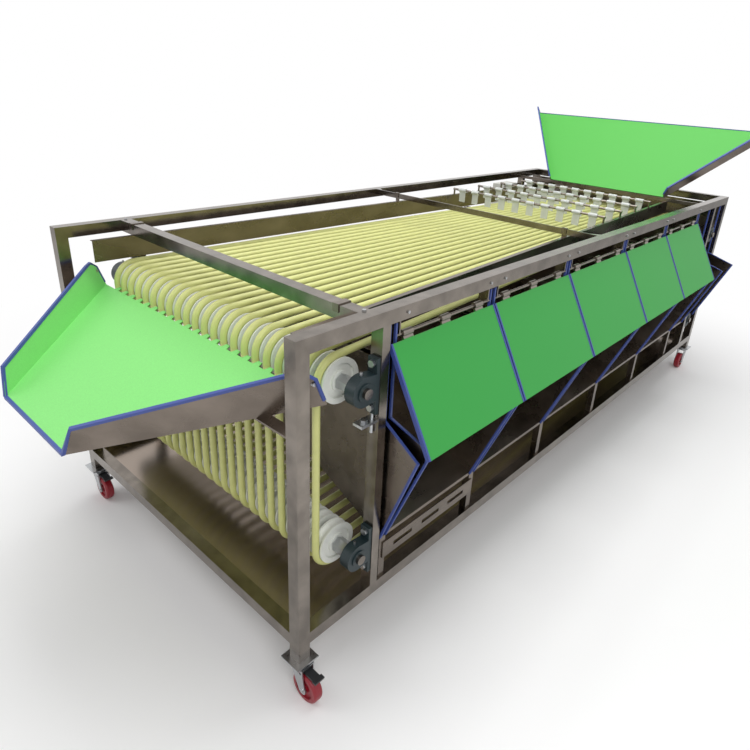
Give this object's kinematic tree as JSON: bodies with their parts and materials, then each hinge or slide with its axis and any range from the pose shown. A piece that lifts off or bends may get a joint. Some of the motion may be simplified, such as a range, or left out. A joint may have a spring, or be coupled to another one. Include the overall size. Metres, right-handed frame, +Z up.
{
  "type": "fruit grading machine",
  "caption": "Diverging-cord fruit grader: round cords over sloping lined chutes with hinged flaps, feed hopper and discharge tray on a castered tube frame.",
  "frame": {"origin": "middle of the overall box, on the floor under the wheels", "axes": "+X along the machine towards the feed hopper, -Y the outlet side with the flaps, +Z up"},
  "size_m": [3.8354, 1.5864, 1.5393],
  "materials": {
    "steel_tube": "polished tube",
    "steel_sheet": "bright sheet",
    "green_lining": "soft lining",
    "flap_green": "lined panel",
    "bearing_iron": "dark painted casting",
    "zinc_steel": "zinc plated",
    "chain_steel": "oiled",
    "motor_grey": "semi-gloss",
    "box_grey": "powder coat",
    "button_green": "gloss",
    "button_red": "gloss",
    "cord_yellow": "smooth polyurethane",
    "pulley_white": "satin nylon",
    "tag_white": "translucent white",
    "wheel_red": "polyurethane",
    "pedal_black": "moulded"
  },
  "bodies": {
    "machine": {"bearing_bolts": "zinc_steel", "bearing_housings": "bearing_iron", "bottom_rails": "steel_tube", "caster_plates": "zinc_steel", "chain": "chain_steel", "chain_guard": "steel_sheet", "control_box": "box_grey", "cord_far_ends": "cord_yellow", "cord_near_ends": "cord_yellow", "cord_return_runs": "cord_yellow", "cord_top_runs": "cord_yellow", "corner_legs": "steel_tube", "cross_tubes": "steel_tube", "deck_plate": "steel_sheet", "deflector": "green_lining", "discharge_tray": "steel_sheet", "feed_hopper": "steel_sheet", "flap_hinge_rods": "steel_tube", "gear_motor": "motor_grey", "guard_hooks": "steel_sheet", "hopper_lining": "green_lining", "mid_bar": "steel_tube", "mid_uprights": "steel_tube", "mount_brackets": "steel_sheet", "outlet_floors": "steel_sheet", "outlet_walls": "steel_sheet", "side_guards": "steel_sheet", "spreader_rods": "steel_tube", "top_rails": "steel_tube", "tray_lining": "green_lining"},
    "near_upper_roller": {"near_upper_shaft": "steel_tube", "near_upper_pulleys": "pulley_white"},
    "near_lower_roller": {"near_lower_shaft": "steel_tube", "near_lower_pulleys": "pulley_white"},
    "far_upper_roller": {"far_upper_shaft": "steel_tube", "far_upper_pulleys": "pulley_white"},
    "far_lower_roller": {"far_lower_shaft": "steel_tube", "far_lower_pulleys": "pulley_white"},
    "motor_output": {"motor_sprocket": "chain_steel"},
    "flap_1": {"flap_1": "flap_green"},
    "flap_2": {"flap_2": "flap_green"},
    "flap_3": {"flap_3": "flap_green"},
    "flap_4": {"flap_4": "flap_green"},
    "flap_5": {"flap_5": "flap_green"},
    "tag_row_1": {"tag_row_1": "tag_white"},
    "tag_row_2": {"tag_row_2": "tag_white"},
    "tag_row_3": {"tag_row_3": "tag_white"},
    "tag_row_4": {"tag_row_4": "tag_white"},
    "fork_near_left": {"fork_near_left": "zinc_steel"},
    "wheel_near_left": {"wheel_near_left": "wheel_red"},
    "fork_near_right": {"fork_near_right": "zinc_steel"},
    "wheel_near_right": {"wheel_near_right": "wheel_red"},
    "fork_far_left": {"fork_far_left": "zinc_steel"},
    "wheel_far_left": {"wheel_far_left": "wheel_red"},
    "fork_far_right": {"fork_far_right": "zinc_steel"},
    "wheel_far_right": {"wheel_far_right": "wheel_red"},
    "pedal_near_left": {"pedal_near_left": "pedal_black"},
    "pedal_near_right": {"pedal_near_right": "pedal_black"},
    "start_button": {"start_button": "button_green"},
    "stop_button": {"stop_button": "button_red"}
  },
  "joints": [
    {"name": "far_upper_spin", "type": "hinge", "parent": "machine", "child": "far_upper_roller", "pos_m": [1.61733, 0.01782, 0.921], "axis": [0, 1, 0], "continuous": true},
    {"name": "far_lower_spin", "type": "hinge", "parent": "machine", "child": "far_lower_roller", "pos_m": [1.61733, 0.01782, 0.373], "axis": [0, 1, 0], "continuous": true},
    {"name": "near_upper_spin", "type": "hinge", "parent": "machine", "child": "near_upper_roller", "pos_m": [-1.33967, 0.01782, 0.921], "axis": [0, 1, 0], "continuous": true},
    {"name": "near_lower_spin", "type": "hinge", "parent": "machine", "child": "near_lower_roller", "pos_m": [-1.33967, 0.01782, 0.373], "axis": [0, 1, 0], "continuous": true},
    {"name": "motor_spin", "type": "hinge", "parent": "machine", "child": "motor_output", "pos_m": [1.39733, 0.60282, 0.44], "axis": [0, 1, 0], "continuous": true},
    {"name": "flap_1_lift", "type": "hinge", "parent": "machine", "child": "flap_1", "pos_m": [-0.99867, -0.62218, 1.042], "axis": [-1, 0, 0], "range_deg": [0, 95]},
    {"name": "flap_2_lift", "type": "hinge", "parent": "machine", "child": "flap_2", "pos_m": [-0.50967, -0.62218, 1.042], "axis": [-1, 0, 0], "range_deg": [0, 95]},
    {"name": "flap_3_lift", "type": "hinge", "parent": "machine", "child": "flap_3", "pos_m": [0.01233, -0.62218, 1.042], "axis": [-1, 0, 0], "range_deg": [0, 95]},
    {"name": "flap_4_lift", "type": "hinge", "parent": "machine", "child": "flap_4", "pos_m": [0.52933, -0.62218, 1.042], "axis": [-1, 0, 0], "range_deg": [0, 95]},
    {"name": "flap_5_lift", "type": "hinge", "parent": "machine", "child": "flap_5", "pos_m": [1.03333, -0.62218, 1.042], "axis": [-1, 0, 0], "range_deg": [0, 95]},
    {"name": "tag_row_1_swing", "type": "hinge", "parent": "machine", "child": "tag_row_1", "pos_m": [0.48733, 0.01782, 1.118], "axis": [0, 1, 0], "range_deg": [-65, 65]},
    {"name": "tag_row_2_swing", "type": "hinge", "parent": "machine", "child": "tag_row_2", "pos_m": [0.71233, 0.01782, 1.118], "axis": [0, 1, 0], "range_deg": [-65, 65]},
    {"name": "tag_row_3_swing", "type": "hinge", "parent": "machine", "child": "tag_row_3", "pos_m": [0.93733, 0.01782, 1.118], "axis": [0, 1, 0], "range_deg": [-65, 65]},
    {"name": "tag_row_4_swing", "type": "hinge", "parent": "machine", "child": "tag_row_4", "pos_m": [1.16233, 0.01782, 1.118], "axis": [0, 1, 0], "range_deg": [-65, 65]},
    {"name": "swivel_near_left", "type": "hinge", "parent": "machine", "child": "fork_near_left", "pos_m": [-1.54767, 0.65532, 0.13], "axis": [0, 0, 1], "continuous": true},
    {"name": "roll_near_left", "type": "hinge", "parent": "fork_near_left", "child": "wheel_near_left", "pos_m": [-1.54767, 0.62132, 0.05], "axis": [1, 0, 0], "continuous": true},
    {"name": "brake_near_left", "type": "hinge", "parent": "fork_near_left", "child": "pedal_near_left", "pos_m": [-1.54767, 0.62832, 0.1095], "axis": [1, 0, 0], "range_deg": [0, 6]},
    {"name": "swivel_near_right", "type": "hinge", "parent": "machine", "child": "fork_near_right", "pos_m": [-1.54767, -0.61968, 0.13], "axis": [0, 0, 1], "continuous": true},
    {"name": "roll_near_right", "type": "hinge", "parent": "fork_near_right", "child": "wheel_near_right", "pos_m": [-1.54767, -0.65368, 0.05], "axis": [1, 0, 0], "continuous": true},
    {"name": "brake_near_right", "type": "hinge", "parent": "fork_near_right", "child": "pedal_near_right", "pos_m": [-1.54767, -0.64668, 0.1095], "axis": [1, 0, 0], "range_deg": [0, 6]},
    {"name": "swivel_far_left", "type": "hinge", "parent": "machine", "child": "fork_far_left", "pos_m": [1.76233, 0.65532, 0.13], "axis": [0, 0, 1], "continuous": true},
    {"name": "roll_far_left", "type": "hinge", "parent": "fork_far_left", "child": "wheel_far_left", "pos_m": [1.72833, 0.65532, 0.05], "axis": [0, 1, 0], "continuous": true},
    {"name": "swivel_far_right", "type": "hinge", "parent": "machine", "child": "fork_far_right", "pos_m": [1.76233, -0.61968, 0.13], "axis": [0, 0, 1], "continuous": true},
    {"name": "roll_far_right", "type": "hinge", "parent": "fork_far_right", "child": "wheel_far_right", "pos_m": [1.72833, -0.61968, 0.05], "axis": [0, 1, 0], "continuous": true},
    {"name": "start_button_press", "type": "slide", "parent": "machine", "child": "start_button", "axis": [0, -1, 0], "range_m": [0, 0.004], "stiffness_N_per_m": 400},
    {"name": "stop_button_press", "type": "slide", "parent": "machine", "child": "stop_button", "axis": [0, -1, 0], "range_m": [0, 0.004], "stiffness_N_per_m": 400}
  ],
  "couplings": [
    {"joint": "far_lower_spin", "follows": "far_upper_spin", "ratio": 1},
    {"joint": "near_upper_spin", "follows": "far_upper_spin", "ratio": 1},
    {"joint": "near_lower_spin", "follows": "far_upper_spin", "ratio": 1},
    {"joint": "motor_spin", "follows": "far_upper_spin", "ratio": 1.5}
  ]
}
